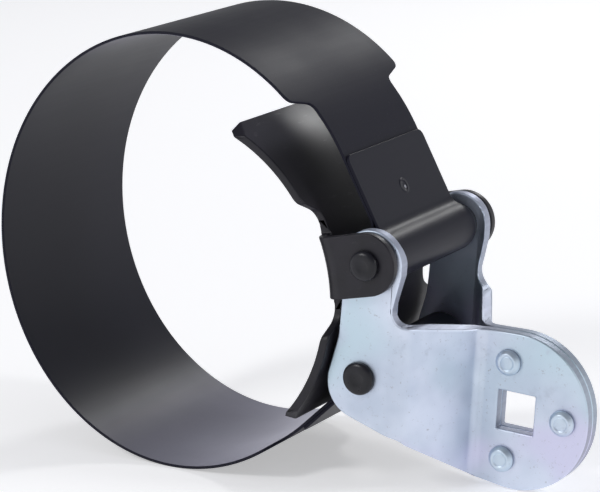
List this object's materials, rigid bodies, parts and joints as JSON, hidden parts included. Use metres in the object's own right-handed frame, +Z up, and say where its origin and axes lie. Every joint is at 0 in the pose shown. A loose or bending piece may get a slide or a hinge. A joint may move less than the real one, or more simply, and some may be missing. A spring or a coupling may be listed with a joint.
{
  "type": "oil filter wrench",
  "caption": "Band oil filter wrench: a spring steel strap tightened round the filter by a cranked two-plate lever with a square drive hole, and a curved cradle.",
  "frame": {"origin": "centre of the band, half way along its width", "axes": "+X towards the lever, +Y along the filter's axis, +Z up as the wrench stands on its band and its grip"},
  "size_m": [0.1978, 0.077, 0.1434],
  "materials": {
    "strap_steel": "satin blue-black spring steel",
    "cradle_steel": "blackened pressed steel",
    "zinc_plate": "bright zinc plate",
    "zinc_rivet": "bright zinc plate",
    "black_oxide": "black oxide"
  },
  "bodies": {
    "band_back": {"strap_back": "strap_steel"},
    "band_upper": {"strap_upper": "strap_steel"},
    "band_lower": {"strap_lower": "strap_steel"},
    "lever": {"lever_plate_front": "zinc_plate", "lever_plate_rear": "zinc_plate", "upper_pin": "black_oxide", "lower_pin": "black_oxide", "upper_sleeve": "black_oxide", "lower_sleeve": "black_oxide", "cradle_washer_front": "black_oxide", "cradle_washer_rear": "black_oxide", "handle_rivet_top": "zinc_rivet", "handle_rivet_bottom": "zinc_rivet", "handle_rivet_end": "zinc_rivet"},
    "cradle": {"cradle": "cradle_steel"}
  },
  "joints": [
    {"name": "top_flex", "type": "hinge", "parent": "band_back", "child": "band_upper", "pos_m": [0, 0, 0.0712], "axis": [0, -1, 0], "range_deg": [-4, 2], "stiffness_Nm_per_rad": 2.6},
    {"name": "bottom_flex", "type": "hinge", "parent": "band_back", "child": "band_lower", "pos_m": [0, 0, -0.0712], "axis": [0, -1, 0], "range_deg": [-5, 2], "stiffness_Nm_per_rad": 2.6},
    {"name": "lever_swing", "type": "hinge", "parent": "band_upper", "child": "lever", "pos_m": [0.0704, 0, 0.0046], "axis": [0, -1, 0], "range_deg": [-0.5, 12]},
    {"name": "cradle_tilt", "type": "hinge", "parent": "band_upper", "child": "cradle", "pos_m": [0.0704, 0, 0.0046], "axis": [0, -1, 0], "range_deg": [-12, 1]}
  ],
  "couplings": [
    {"joint": "top_flex", "follows": "lever_swing", "ratio": -0.26},
    {"joint": "bottom_flex", "follows": "lever_swing", "ratio": -0.28}
  ]
}
